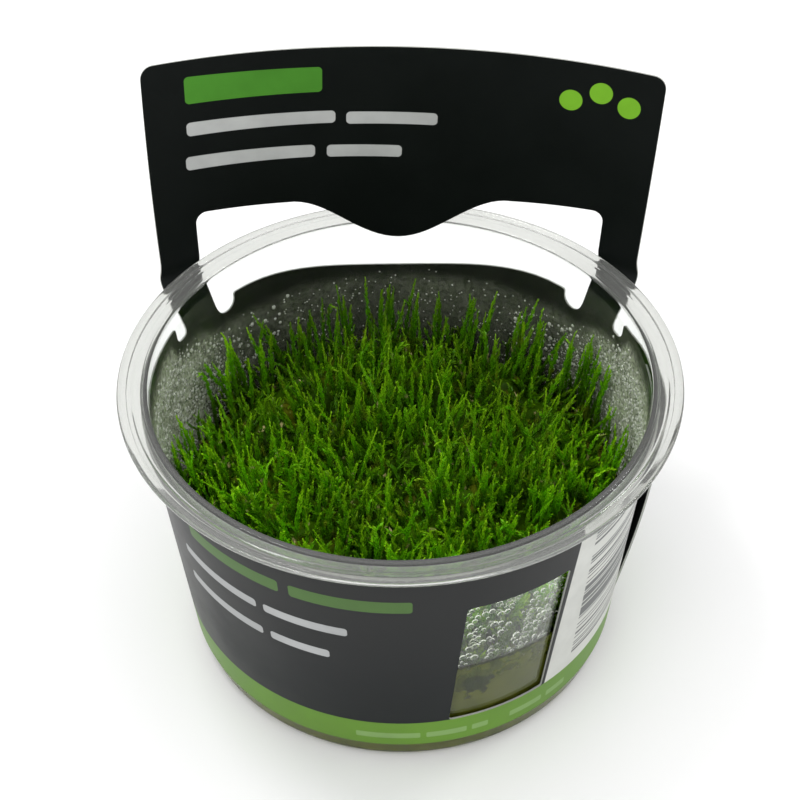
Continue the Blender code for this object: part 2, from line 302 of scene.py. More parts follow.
def print_block():
    """1 inside a rectangle with round corners, which may tilt a little, and 0 outside it."""
    net, entry, exits = new_group("ShaderNodeTree", "print block",
                                  dict.fromkeys(BLOCK_INPUTS, 0.0), {"Mask": "Float"})
    x = entry["Across"] - (entry["Left"] + entry["Right"]) * 0.5
    z = entry["Up"] - (entry["Bottom"] + entry["Top"]) * 0.5 - x * entry["Tilt"]
    squares = []
    for value, low, high in ((x, "Left", "Right"), (z, "Bottom", "Top")):
        reach = (entry[high] - entry[low]) * 0.5 - entry["Corner"]
        over = net.maths("MAXIMUM", net.maths("ABSOLUTE", value) - reach, 0.0)
        squares.append(net.maths("POWER", over, 2.0))
    distance = net.maths("SQRT", squares[0] + squares[1]) - entry["Corner"]
    net.join(distance.ramp(-0.05, 0.05, 1.0, 0.0), exits["Mask"])
    return net.tree


BLOCK = print_block()


def block(net, *edges, tilt=0.0):
    """A block of print, with its edges in the order of BLOCK_INPUTS."""
    return net.add("ShaderNodeGroup", dict(zip(BLOCK_INPUTS, (*edges, tilt))), node_tree=BLOCK)


def any_of(masks):
    whole = masks[0]
    for mask in masks[1:]:
        whole = mask.net.maths("MAXIMUM", whole, mask)
    return whole


print("group:", BLOCK.name)

# %% [markdown]
# ## Shapes that are turned or cut
# The cup and the jelly are turned on an axis, and the sleeve is cut from a flat sheet. Both start as an
# outline of corners, each with its own radius, which one function rounds.

# %% Rounded outlines and turned solids


def rounded(corners, steps=4, closed=True):
    """Outline points from corners (across, up, radius)."""
    points = []
    last_index = len(corners) - 1
    for index, (x, y, radius) in enumerate(corners):
        here = Vector((x, y))
        if radius <= 0.0 or (not closed and index in (0, last_index)):
            points.append(here)
            continue
        before = (Vector(corners[index - 1][:2]) - here).normalized()
        after = (Vector(corners[(index + 1) % len(corners)][:2]) - here).normalized()
        half = before.angle(after) / 2
        reach = radius / math.tan(half)
        centre = here + (before + after).normalized() * (radius / math.sin(half))
        first = here + before * reach - centre
        sweep = first.angle_signed(here + after * reach - centre)
        for step in range(steps + 1):
            points.append(centre + Matrix.Rotation(-sweep * step / steps, 2) @ first)
    return points


def plain_mesh(obj):
    """A mesh of the object as it shows, with its modifiers run."""
    bpy.context.view_layer.update()
    return bpy.data.meshes.new_from_object(obj.evaluated_get(bpy.context.evaluated_depsgraph_get()))


def turned(name, profile, steps):
    """A closed solid from (radius, height) points that start and end on the axis."""
    bm = bmesh.new()
    rings = []
    for radius, z in profile:
        if radius < 1e-7:
            rings.append([bm.verts.new((0.0, 0.0, z))])
            continue
        angles = [2 * math.pi * step / steps for step in range(steps)]
        rings.append([bm.verts.new((radius * math.sin(a), radius * math.cos(a), z)) for a in angles])
    for low, high in zip(rings, rings[1:]):
        for step in range(steps):
            after = (step + 1) % steps
            if len(low) == 1:
                bm.faces.new((low[0], high[after], high[step]))
            elif len(high) == 1:
                bm.faces.new((low[step], low[after], high[0]))
            else:
                bm.faces.new((low[step], low[after], high[after], high[step]))
    bmesh.ops.recalc_face_normals(bm, faces=bm.faces)
    for face in bm.faces:
        face.smooth = True
    return link_bmesh(name, bm)


print("outline helpers ready")

# %% [markdown]
# ## The cup
# The cup is moulded in clear plastic, with a flat rim that ends in a small bead. The light runs along
# every edge of that rim, so its profile has real radii and is turned in fine steps.

# %% Cup shape
CUP_HEIGHT = 57.8 * MM
RIM_RADIUS = 49.5 * MM
MOUTH_RADIUS = 44.2 * MM
WALL = 0.8 * MM
TAPER = math.radians(5.47)
CUP_FLOOR = 1.0 * MM
CHANNEL = CUP_HEIGHT - 0.4 * MM
RIM_WALL = 0.5 * MM
LIP_END = MOUTH_RADIUS + 1.0 * MM
RIDGE = MOUTH_RADIUS + 2.6 * MM
BEAD_START = RIM_RADIUS - 1.6 * MM
BEAD_FOOT = CUP_HEIGHT - 0.7 * MM
CUP_STEPS = 192


def inner_radius(z):
    return MOUTH_RADIUS - (CUP_HEIGHT - z) * math.tan(TAPER)


def outer_radius(z):
    return inner_radius(z) + WALL


def cup_profile():
    underside = CHANNEL - RIM_WALL
    corners = [
        (0.0, CUP_FLOOR, 0.0),
        (inner_radius(CUP_FLOOR), CUP_FLOOR, 1.2 * MM),
        (MOUTH_RADIUS, CUP_HEIGHT, 0.25 * MM),
        (LIP_END, CUP_HEIGHT, 0.2 * MM),
        (LIP_END + 0.15 * MM, CHANNEL, 0.15 * MM),
        (RIDGE - 0.3 * MM, CHANNEL, 0.1 * MM),
        (RIDGE, CHANNEL + 0.12 * MM, 0.2 * MM),
        (RIDGE + 0.3 * MM, CHANNEL, 0.1 * MM),
        (BEAD_START - 0.15 * MM, CHANNEL, 0.15 * MM),
        (BEAD_START, CUP_HEIGHT, 0.2 * MM),
        (RIM_RADIUS, CUP_HEIGHT, 0.32 * MM),
        (RIM_RADIUS, BEAD_FOOT, 0.3 * MM),
        (RIM_RADIUS - 0.8 * MM, underside, 0.2 * MM),
        (outer_radius(underside), underside, 0.3 * MM),
        (outer_radius(0.0), 0.0, 1.5 * MM),
        (0.0, 0.0, 0.0),
    ]
    return rounded(corners, steps=5, closed=False)


cup = turned("cup_shell", cup_profile(), CUP_STEPS)
print("cup:", len(cup.data.polygons), "faces")

# %% Cup material
RIM_ZONE = CUP_HEIGHT - 1.6 * MM
MOULD_LINES_ACROSS, MOULD_LINES_UP = 900.0, 500.0


def plastic(name, tint, clearness, roughness, shine):
    """Clear plastic with the fine turning lines of its mould."""
    net = new_material(name, Base_Color=tint, IOR=1.47, Specular_Tint=shine,
                       Transmission_Weight=clearness)
    grain, patches = marks(net, 1400.0, 90.0)
    flat = net.vector("MULTIPLY", net.place, (1.0, 1.0, 0.0))
    radius = net.vector("LENGTH", flat, output="Value")
    height = net.split(net.place)[2]
    turns = net.combine(radius * MOULD_LINES_ACROSS, 0.0, height * MOULD_LINES_UP)
    net.bump(grain * 0.4 + net.noise(turns, 1.0, detail=1.0), 0.12, 0.0002)
    net.finish(Roughness=patches * 0.03 + roughness)
    return net.material


# The clear cup's reflections are tinted down to a tenth: painted shade in what the wall reflects, for the
# floor near the cup.
cup.data.materials.append(plastic("clear cup plastic", (0.95, 0.97, 0.95), 1.0, 0.02, (0.1, 0.1, 0.08)))
cup.data.materials.append(plastic("rim plastic", (0.75, 0.76, 0.73), 0.9, 0.07, (1.0, 1.0, 1.0)))
for face in cup.data.polygons:
    face.material_index = int(face.center.z > RIM_ZONE)
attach(cup, "root")
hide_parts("cup")
print("cup dressed")

# %% [markdown]
# ## The card sleeve
# The sleeve is one die-cut blank. Its outline is filled flat, creased along many straight lines, and
# only then laid round the cup. Every point keeps its flat place in a UV map, so the print follows the
# card round the cup.

# %% Sleeve: the flat blank
CARD = 0.35 * MM
GAP = 0.3 * MM
FLAT_RADIUS = 45.1 * MM
BAND_BOTTOM = 4.6 * MM
BAND_TOP = 53.7 * MM
INNER_END = -278.0
OUTER_END = 96.0
BACK_DIP = 46.7 * MM
BACK_RISE = 3.8 * MM
INNER_NOTCH = 38.3 * MM
INNER_NOTCH_WIDTH = 5.0 * MM
INNER_NOTCH_FOOT = 47.4 * MM
OUTER_NOTCH = 51.7 * MM
OUTER_NOTCH_WIDTH = 3.6 * MM
OUTER_NOTCH_FOOT = 50.0 * MM
NOTCH_ROUNDNESS = 0.9
BACK_EDGE_END = INNER_NOTCH - 4.0 * MM
CUT_CORNER = 0.6 * MM
END_CORNER = 0.8 * MM
WINDOW_CORNERS = ((13.9, 44.3), (39.3, 44.0), (36.8, 11.5), (11.05, 11.5))
HEADER_HALF = 47.2 * MM
HEADER_TOP = 96.8 * MM
HEADER_ARCH = 1.3 * MM
HEADER_CORNER = 2.4 * MM
ARM_INNER = 39.3 * MM
ARM_NECK = 57.5 * MM
ARM_CURVE = 8.0 * MM
SHOULDER = 66.3 * MM
TONGUE_TIP = 54.4 * MM
TONGUE_RISE = 10.2 * MM
TONGUE_HALF = 21.5 * MM
ARCH_SLOPE = 0.1


def along(angle):
    """Distance along the flat blank for an angle in degrees, with 0 at the back."""
    return FLAT_RADIUS * math.radians(angle)


def mirrored(corners):
    return [(-x, y, radius) for x, y, radius in reversed(corners)]


def header_edge(s):
    return HEADER_TOP - HEADER_ARCH * (s / HEADER_HALF) ** 2


def wave_edge(s):
    share = math.sin(math.pi / 2 * min(s / TONGUE_HALF, 1.0)) ** 2
    return TONGUE_TIP + TONGUE_RISE * share + ARCH_SLOPE * max(s - TONGUE_HALF, 0.0)


def back_edge(s):
    return BACK_DIP + BACK_RISE * math.sin(math.pi / 2 * s / BACK_EDGE_END) ** 2


def edge_points(edge, end, steps):
    """Points on a curved edge, from the middle of the back out to its end."""
    return [(end * i / steps, edge(end * i / steps), 0.0) for i in range(1, steps + 1)]


def notch(place, width, foot):
    """The two round corners at the foot of a notch, the outer one first."""
    half = width / 2
    return [(place + side * half, foot, half * NOTCH_ROUNDNESS) for side in (1, -1)]


def blank_outline():
    arm = [
        (OUTER_NOTCH + OUTER_NOTCH_WIDTH / 2, BAND_TOP, CUT_CORNER),
        *notch(OUTER_NOTCH, OUTER_NOTCH_WIDTH, OUTER_NOTCH_FOOT),
        (HEADER_HALF, ARM_NECK, ARM_CURVE),
        (HEADER_HALF, header_edge(HEADER_HALF), HEADER_CORNER),
        *reversed(edge_points(header_edge, HEADER_HALF, 8)[:-1]),
    ]
    outer, inner = along(OUTER_END), along(INNER_END)
    corners = [(outer, BAND_BOTTOM, END_CORNER), (outer, BAND_TOP, END_CORNER), *arm,
               (0.0, HEADER_TOP, 0.0), *mirrored(arm),
               (inner, BAND_TOP, END_CORNER), (inner, BAND_BOTTOM, END_CORNER)]
    return rounded(corners, steps=7)


def cut_out_outline():
    right = [
        *edge_points(wave_edge, TONGUE_HALF, 16),
        (ARM_INNER, SHOULDER, 2.0 * MM),
        (ARM_INNER, ARM_NECK, ARM_CURVE),
        *notch(INNER_NOTCH, INNER_NOTCH_WIDTH, INNER_NOTCH_FOOT),
        (INNER_NOTCH - INNER_NOTCH_WIDTH / 2, BACK_DIP + BACK_RISE, CUT_CORNER),
        *reversed(edge_points(back_edge, BACK_EDGE_END, 12)),
    ]
    return rounded([(0.0, TONGUE_TIP, 0.0), *right, (0.0, BACK_DIP, 0.0), *mirrored(right)], steps=7)


def window_outline():
    return rounded([(along(-180.0 - angle), z * MM, CUT_CORNER) for angle, z in WINDOW_CORNERS])


def flat_blank():
    curve = bpy.data.curves.new("blank", "CURVE")
    curve.dimensions = "2D"
    curve.fill_mode = "BOTH"
    curve.extrude = CARD / 2
    for outline in (blank_outline(), cut_out_outline(), window_outline()):
        spline = curve.splines.new("POLY")
        spline.points.add(len(outline) - 1)
        for point, (x, y) in zip(spline.points, outline):
            point.co = (x, y, 0.0, 1.0)
        spline.use_cyclic_u = True
    flat = link("blank", curve)
    mesh = plain_mesh(flat)
    bpy.data.objects.remove(flat)
    return mesh


blank_mesh = flat_blank()
print("blank:", len(blank_mesh.vertices), "points")

# %% [markdown]
# The band is a cone round the cup, and the header is a gentler arc behind it. Up each arm a growing
# share moves the points from the first surface to the second, so the card twists as real card does.

# %% Sleeve: wrapped round the cup
ARM_BEND_START = 0.2 * MM
ARM_BEND_END = 56.2 * MM
HEADER_DEPTH = 43.2 * MM
BEND_RADIUS_AT_RIM = 80.6 * MM
BEND_RADIUS_AT_TOP = 171.0 * MM
TWIST_AT_TOP = math.radians(-3.4)
SWAY_AT_TOP = 1.3 * MM
OVERLAP_STEP = CARD + GAP
OVERLAP_RAMP = (70.0, 79.0)
BULGE = 1.9 * MM
BULGE_HEIGHTS = (5.0 * MM, 62.0 * MM)
TOLERANCE = 0.1 * MM
CREASE_ANGLE = 2.5
ARM_CREASES, HEADER_CREASES = 0.5 * MM, 2.0 * MM
END_CREASES = [(4.0 + 2.0 * step) * MM for step in range(25)]


def smooth_step(value):
    value = min(max(value, 0.0), 1.0)
    return value * value * (3.0 - 2.0 * value)


def band_point(s, z):
    angle = math.degrees(s / FLAT_RADIUS)
    first, last = OVERLAP_RAMP
    stand_off = OVERLAP_STEP * smooth_step((angle - first) / (last - first))
    low, high = BULGE_HEIGHTS
    if angle > last and low < z < high:
        swell = math.sin(math.pi * (z - low) / (high - low))
        stand_off += BULGE * swell * smooth_step((angle - last) / (OUTER_END - last))
    radius = outer_radius(z) + GAP + CARD / 2 + stand_off
    turn = math.radians(angle)
    return Vector((radius * math.sin(turn), radius * math.cos(turn), z))


def header_point(s, z):
    up = (z - CUP_HEIGHT) / (HEADER_TOP - CUP_HEIGHT)
    bend = (1 - up) / BEND_RADIUS_AT_RIM + up / BEND_RADIUS_AT_TOP
    place = Vector((math.sin(s * bend) / bend, (math.cos(s * bend) - 1) / bend, 0.0))
    twist = Matrix.Rotation(TWIST_AT_TOP * max(up, 0.0), 3, "Z")
    return twist @ place + Vector((SWAY_AT_TOP * max(up, 0.0), HEADER_DEPTH, z))


def header_share(s, z):
    if abs(s) > OUTER_NOTCH or (abs(s) < INNER_NOTCH and z < TONGUE_TIP - TOLERANCE):
        return 0.0
    across = min(max((abs(s) - INNER_NOTCH) / (OUTER_NOTCH - INNER_NOTCH), 0.0), 1.0)
    start = INNER_NOTCH_FOOT + (OUTER_NOTCH_FOOT - INNER_NOTCH_FOOT) * across + ARM_BEND_START
    end = ARM_BEND_END if abs(s) > INNER_NOTCH else TONGUE_TIP - TOLERANCE
    return smooth_step((z - start) / (end - start))


def wrapped(s, z, share):
    return band_point(s, z).lerp(header_point(s, z), share)


def crease(bm, across=None, up=None, first=-math.inf, last=math.inf):
    """A line through the faces between first and last: upright at across, or level at up."""
    faces = [face for face in bm.faces if first < face.calc_center_median().x < last]
    chosen = {part for face in faces for part in (face, *face.edges, *face.verts)}
    bmesh.ops.bisect_plane(bm, geom=list(chosen), dist=1e-7, plane_co=(across or 0.0, up or 0.0, 0.0),
                           plane_no=(1.0, 0.0, 0.0) if up is None else (0.0, 1.0, 0.0))


UV_LEFT, UV_WIDTH, UV_HEIGHT = along(INNER_END), along(OUTER_END - INNER_END), HEADER_TOP
FRONT, BACK, EDGE = 0, 1, 2


def make_sleeve():
    bm = bmesh.new()
    bm.from_mesh(blank_mesh)
    bmesh.ops.remove_doubles(bm, verts=bm.verts, dist=1e-6)
    turns = round((OUTER_END - INNER_END) / CREASE_ANGLE)
    for turn in range(1, turns):
        crease(bm, across=along(INNER_END + (OUTER_END - INNER_END) * turn / turns))
    height = INNER_NOTCH_FOOT
    while height < HEADER_TOP:
        crease(bm, up=height, first=-OUTER_NOTCH * 1.1, last=OUTER_NOTCH * 1.1)
        height += ARM_CREASES if height < ARM_BEND_END + MM else HEADER_CREASES
    for height in END_CREASES:
        crease(bm, up=height, first=along(OVERLAP_RAMP[0]))
    flat = bm.loops.layers.uv.new("blank")
    for face in bm.faces:
        lift = face.normal.z
        face.material_index = FRONT if lift < -0.5 else BACK if lift > 0.5 else EDGE
        face.smooth = abs(lift) > 0.5
        for loop in face.loops:
            x, y, _ = loop.vert.co
            loop[flat].uv = ((x - UV_LEFT) / UV_WIDTH, y / UV_HEIGHT)
    bmesh.ops.split_edges(bm, edges=[e for e in bm.edges if len({f.smooth for f in e.link_faces}) > 1])
    bmesh.ops.triangulate(bm, faces=bm.faces)
    step = 0.01 * MM
    for vertex in bm.verts:
        s, z, offset = vertex.co
        here = wrapped(s, z, header_share(s, z))
        ahead = wrapped(s + step, z, header_share(s + step, z)) - here
        above = wrapped(s, z + step, header_share(s, z + step)) - here
        vertex.co = here + ahead.cross(above).normalized() * offset
    return link_bmesh("card_sleeve", bm)


sleeve = make_sleeve()
print("sleeve:", len(sleeve.data.polygons), "faces")

# %% [markdown]
# ## Print on the card
# The print is black ink, with a green foot, a pale field with bars, and plain blocks where a label
# carries its lines. Each block is a node group with its edges in millimetres on the flat blank, so it
# stays sharp at any distance and bends with the card.

# %% Card materials
INK = (0.0056, 0.0072, 0.0066)
# The label's black comes in two tones for a painted reflection: darker low down, where the floor near the
# cup lies in shade, and lighter higher up.
LABEL_INK_DARK_REFLECTION, LABEL_INK_BRIGHT_REFLECTION = (0.0040, 0.0058, 0.0068), (0.0140, 0.0150, 0.0150)
LABEL_INKS = {"green": (0.07, 0.15, 0.035), "pale": (0.40, 0.41, 0.41)}
HEADER_INKS = {"green": (0.075, 0.27, 0.030), "pale": (0.50, 0.51, 0.50)}
DOT_INK = (0.19, 0.46, 0.03)
FOOT_INK, FOOT_LINE_INK = (0.115, 0.25, 0.024), (0.40, 0.55, 0.30)
FOOT_TOP = 11.55
PALE, BAR_INK = (0.60, 0.61, 0.575), (0.13, 0.135, 0.135)
FIELD_START, FIELD_SLANT = 28.9, 0.072
BARS_AREA = (36.6, 60.0, 14.5, 50.5)
BAR_PITCH = 0.36
LABEL_LINES = (
    (-42.0, -21.5, 45.0, 48.0, "green", 0.0), (-19.5, 1.6, 45.0, 48.0, "green", 0.0),
    (-46.0, -27.0, 37.3, 39.4, "pale", 0.0), (-25.4, -9.6, 37.3, 39.4, "pale", 0.0),
    (-46.0, -26.5, 30.0, 32.1, "pale", 0.0), (-24.8, -13.2, 30.0, 32.1, "pale", 0.0),
)
FOOT_LINES = ((-9.5, 3.2), (4.4, 12.5), (13.6, 17.0), (21.8, 29.5), (30.8, 36.0))
HEADER_LINES = (
    (-39.5, -14.6, 87.7, 92.8, "green", 0.0),
    (-39.6, -12.2, 81.3, 83.9, "pale", -0.02), (-10.2, 6.6, 80.5, 83.1, "pale", -0.02),
    (-40.2, -16.0, 74.5, 77.1, "pale", -0.045), (-13.8, 0.2, 73.4, 76.0, "pale", -0.045),
)
HEADER_DOTS = ((30.6, 88.4), (35.9, 90.6), (41.2, 88.6))
DOT_RADIUS = 2.1


def new_card(name, shine):
    """A card material, and across and up in millimetres from the middle of the back."""
    net = new_material(name, Specular_IOR_Level=shine)
    across, up, _ = net.split(net.add("ShaderNodeUVMap", uv_map="blank"))
    return net, across * (UV_WIDTH / MM) + UV_LEFT / MM, up * (UV_HEIGHT / MM)


def printed(net, colour, across, up, corner, lines, inks):
    """The colour with blocks of print over it, one ink after the other."""
    for kind, ink in inks.items():
        masks = [block(net, across, up, *edges, corner, tilt=tilt)
                 for *edges, what, tilt in lines if what == kind]
        colour = net.blend(any_of(masks), colour, ink)
    return colour


def finish_card(net, colour, roughness, relief):
    """Ink colour with slight handling marks, and the fine grain of coated card."""
    grain, patches = marks(net, 2600.0, 70.0)
    net.finish(Base_Color=net.vector("SCALE", colour, scale=patches * 0.2 + 0.9),
               Roughness=patches * 0.08 + roughness)
    net.bump(grain, relief, 0.00005)
    return net.material


def label_front():
    """The outside of the band: the label, the field of bars beside it and the green foot."""
    net, across, up = new_card("printed card front", 0.16)
    front = across * -1.0 + -FLAT_RADIUS * math.pi / MM
    # Painted reflection: the black label is darker towards the bottom and lighter towards the top.
    colour = net.blend(up.ramp(12.0, 52.0), LABEL_INK_DARK_REFLECTION, LABEL_INK_BRIGHT_REFLECTION)
    colour = printed(net, colour, front, up, 0.6, LABEL_LINES, LABEL_INKS)
    bars = net.add("ShaderNodeTexWhiteNoise", {"W": net.maths("FLOOR", up / BAR_PITCH)}, "Value",
                   noise_dimensions="1D")
    bars = bars.ramp(0.42, 0.43) * block(net, front, up, *BARS_AREA, 0.05)
    field = (front - (up * FIELD_SLANT + FIELD_START)).ramp(-0.08, 0.08)
    colour = net.blend(field, colour, net.blend(bars, PALE, BAR_INK))
    foot_lines = any_of([block(net, front, up, left, right, 6.7, 8.3, 0.3) for left, right in FOOT_LINES])
    foot = net.blend(foot_lines * 0.3, FOOT_INK, FOOT_LINE_INK)
    colour = net.blend(up.ramp(FOOT_TOP - 0.1, FOOT_TOP + 0.1, 1.0, 0.0), colour, foot)
    return finish_card(net, colour, 0.34, 0.10)


def label_back():
    """The other side of the card: plain black round the cup, and the print of the header."""
    net, across, up = new_card("printed card header", 0.07)
    colour = printed(net, INK, across, up, 0.8, HEADER_LINES, HEADER_INKS)
    dots = [block(net, across, up, x - DOT_RADIUS, x + DOT_RADIUS, z - DOT_RADIUS, z + DOT_RADIUS,
                  DOT_RADIUS) for x, z in HEADER_DOTS]
    return finish_card(net, net.blend(any_of(dots), colour, DOT_INK), 0.42, 0.12)


def card_edge():
    return finish_card(new_material("cut card edge"), (0.40, 0.41, 0.38), 0.7, 0.4)


for made in (label_front(), label_back(), card_edge()):
    sleeve.data.materials.append(made)
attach(sleeve, "root")
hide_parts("sleeve")
print("sleeve dressed")

# %% [markdown]
# ## The jelly
# The moss stands on a clear, brown-green jelly that creeps a little way up the wall. It is a turned solid
# too. Its side lies just inside the wall's own thickness, because jelly wets the plastic and leaves no
# air between them to reflect the light.

# %% Jelly shape and material
GEL_TOP = 25.0 * MM
WETTING = 0.5 * MM
CLUMP = Vector((11.8, -38.7, 20.0)) * MM
CLUMP_REACH = (7.0 * MM, 8.6 * MM)
CLUMP_RAGGEDNESS = 10.0 * MM
FEET_START = 17.0 * MM


def gel_profile():
    foot = CUP_FLOOR - WETTING
    edge = inner_radius(GEL_TOP + MM) + WETTING
    corners = [
        (0.0, GEL_TOP - 0.2 * MM, 0.0),
        (edge - 2.2 * MM, GEL_TOP - 0.2 * MM, 2.0 * MM),
        (edge, GEL_TOP + 0.9 * MM, 0.15 * MM),
        (inner_radius(foot) + WETTING, foot, 1.2 * MM),
        (0.0, foot, 0.0),
    ]
    return rounded(corners, steps=6, closed=False)


def jelly_material():
    """Cloudy jelly, greener where the moss has its feet, with one dark clump at the window."""
    # The jelly's reflections are tinted down to a tenth: painted shade in what it reflects.
    net = new_material("culture jelly", Specular_Tint=(0.1, 0.1, 0.06), IOR=1.34,
                       Transmission_Weight=0.6)
    grain, patches = marks(net, 500.0, 110.0)
    ragged = net.noise(net.place, 420.0, detail=3.0)
    feet = net.split(net.place)[2].ramp(FEET_START, GEL_TOP) * ragged.ramp(0.42, 0.62)
    away = ragged * CLUMP_RAGGEDNESS + net.vector("DISTANCE", net.place, CLUMP, output="Value")
    colour = net.blend(patches, (0.28, 0.33, 0.03), (0.40, 0.44, 0.06))
    colour = net.blend(feet * 0.6, colour, (0.07, 0.13, 0.012))
    colour = net.blend(away.ramp(*CLUMP_REACH, 0.9, 0.0), colour, (0.022, 0.055, 0.004))
    net.finish(Base_Color=colour, Roughness=patches.ramp(0.0, 1.0, 0.05, 0.14))
    net.bump(grain, 0.15, 0.0003)
    return net.material


jelly = turned("jelly", gel_profile(), CUP_STEPS)
jelly.data.materials.append(jelly_material())
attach(jelly, "root")
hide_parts("nutrient_gel")
print("jelly:", len(jelly.data.polygons), "faces")

# %% [markdown]
# ## Tools for repeated things
# Leaves and drops repeat thousands of times. Geometry Nodes place them from one small mesh, with a seed
# that never changes. The result is turned into a plain mesh, since instances don't survive an export.

# %% Geometry Nodes helpers


def grown(obj, tree, name, **values):
    """Runs the tree on obj and leaves its result as a plain mesh named name, in place of obj."""
    modifier = obj.modifiers.new(tree.name, "NODES")
    modifier.node_group = tree
    for item in tree.interface.items_tree:
        key = item.name.replace(" ", "_")
        if item.in_out == "INPUT" and key in values:
            modifier[item.identifier] = values[key]
    mesh = plain_mesh(obj)
    obj.modifiers.remove(modifier)
    bpy.data.objects.remove(obj)
    mesh.name = name
    return link(name, mesh)


def attribute(net, name):
    return net.add("GeometryNodeInputNamedAttribute", {"Name": name}, data_type="FLOAT")


def random_value(net, low, high, seed):
    return net.add("FunctionNodeRandomValue", {2: low, 3: high, "Seed": seed}, 1, data_type="FLOAT")


def finish_tree(net, parts, material, exits):
    """Makes plain mesh of the instances, and gives it the material."""
    whole = net.add("GeometryNodeRealizeInstances", {0: parts})
    net.join(net.add("GeometryNodeSetMaterial", {"Geometry": whole, "Material": material}), exits[0])
    return net.tree


def triangles(mesh):
    return sum(len(face.vertices) - 2 for face in mesh.polygons)


print("geometry helpers ready")

# %% [markdown]
# ## Where the moss grows
# A moss cushion in a culture cup grows straight up towards the lamp: hundreds of shoots from one mat,
# tall at the back, lower and finer in front, and leaning against the wall at the sides. The shoots are
# plain lines first, and the leaves follow them in the next step.

# %% Lines of the shoots
SHOOTS = 1500
TALL_SHOOTS = 85
LOW_SHOOTS = 900
LOW_REACH = 36.5 * MM
WINDOW_SHOOTS = 46
TOUCHING = ((163.5, 18.0, 161.0, 31.0), (158.0, 24.0, 150.5, 43.0), (141.5, 22.0, 137.5, 45.0))
MOSS_SEED = 7
ROOT_Z = 24.0 * MM
CLEAR_OF_WALL = 1.2 * MM
GOLDEN_ANGLE = math.radians(137.50776)


def slow_wave(x, y, phase):
    """About -1 to 1, and much the same for neighbours, so that they lean as one tuft."""
    return (math.sin(x / (6.1 * MM) + phase) * math.cos(y / (7.3 * MM) - phase)
            + 0.5 * math.sin((x - y) / (3.7 * MM) + 2.0 * phase))


def back_edge_share(x, y):
    """0 over most of the cushion, and up to 1 near the wall at the back."""
    return smooth_step((math.hypot(x, y) / MM - 22.0) / 14.0) * smooth_step((y / MM + 4.0) / 16.0)


def cushion_height(x, y, chance):
    """Height of an ordinary tip. The cushion is fullest in the middle."""
    far = back_edge_share(x, y)
    front = smooth_step((-y / MM - 22.0) / 12.0)
    return (42.0 - 8.5 * far + 2.4 * front + 2.3 * slow_wave(x, y, 1.7) + chance.gauss(0.0, 2.4)) * MM


def scatter(chance, spread):
    """A level step of a random length, in millimetres."""
    return Vector((chance.gauss(0.0, spread), chance.gauss(0.0, spread), 0.0)) * MM


def spiral(index, count, reach):
    """Radius and angle of one of count places, spread evenly over a disc."""
    return reach * math.sqrt((index + 0.5) / count), index * GOLDEN_ANGLE


def on_wall(angle, z, clear):
    """The point at an angle and height that is this clear of the inner wall."""
    radius = inner_radius(z) - clear
    return Vector((radius * math.sin(angle), radius * math.cos(angle), z))


def keep_inside(point):
    limit = inner_radius(point.z) - CLEAR_OF_WALL
    flat = math.hypot(point.x, point.y)
    if flat > limit:
        point.x *= limit / flat
        point.y *= limit / flat
    return point


def bent_line(root, top, lean, chance, count):
    """Points from root up to top, which lean more towards the tip and waver a little."""
    points = []
    wobble = chance.uniform(0.0, 6.3)
    for step in range(count):
        t = step / (count - 1)
        side = Vector((math.sin(3.4 * t + wobble), math.cos(2.7 * t - wobble), 0.0)) * 0.9 * MM * t
        points.append(root + Vector((0.0, 0.0, (top - root.z) * t)) + lean * t ** 1.8 + side)
    return [keep_inside(point) for point in points]


def hooked(line, chance):
    """The same shoot with its tip bent over, as tips do that have met the lid."""
    side = Vector((chance.uniform(-1.0, 1.0), chance.uniform(-1.0, 1.0), 0.0)).normalized() * MM
    line[-2] = keep_inside(line[-2] + side * 0.8)
    line[-1] = keep_inside(line[-2] + side * 1.9 + Vector((0.0, 0.0, 0.1 * MM)))
    return line


def side_branches(line, chance, count):
    """Short branches in the upper half of a shoot, which turn up towards the light."""
    branches = []
    last = len(line) - 1
    plane = chance.uniform(0.0, 2.0 * math.pi)
    for index in range(count):
        at = chance.uniform(0.45, 0.9) * last
        start = line[int(at)].lerp(line[min(int(at) + 1, last)], at - int(at))
        length = chance.uniform(2.2, 5.2) * MM * (1.25 - at / last)
        angle = plane + math.pi * index + chance.gauss(0.0, 0.6)
        side = Vector((math.cos(angle), math.sin(angle), 0.0)) * chance.uniform(0.5, 0.95)
        branches.append([keep_inside(start + side * length * t + Vector((0, 0, 1)) * length * t ** 1.4)
                         for t in (0.0, 0.35, 0.7, 1.0)])
    return branches


def shoot_places(chance):
    """Root, height, lean and width of every ordinary shoot, and then of the tall ones."""
    reach = inner_radius(ROOT_Z) - CLEAR_OF_WALL
    for index in range(SHOOTS):
        radius, angle = spiral(index, SHOOTS, reach)
        angle += chance.gauss(0.0, 0.02)
        x = radius * math.cos(angle) + chance.gauss(0.0, 0.8) * MM
        y = radius * math.sin(angle) + chance.gauss(0.0, 0.8) * MM
        outward = Vector((x, y, 0.0)) / reach
        lean = outward * outward.length * 3.6 * MM
        lean += Vector((slow_wave(x, y, 0.4), slow_wave(y, x, 2.1), 0.0)) * 2.0 * MM
        lean += scatter(chance, 5.0 if chance.random() < 0.2 else 2.0)
        if chance.random() < 0.55 * back_edge_share(x, y):
            continue
        yield x, y, cushion_height(x, y, chance), lean, chance.uniform(0.95, 1.4)
    for index in range(TALL_SHOOTS):
        side = chance.uniform(-1.0, 1.0)
        x = 37.0 * MM * side
        y = (36.3 - 17.0 * side * side - abs(chance.gauss(0.0, 5.0))) * MM
        lean = Vector((x * 0.09 + chance.gauss(0.0, 1.8) * MM, chance.gauss(0.6, 1.0) * MM, 0.0))
        top = (chance.triangular(42.0, 50.2, 48.0) - 2.5 * side * side) * MM
        yield x, y, top, lean, chance.uniform(1.1, 1.45)


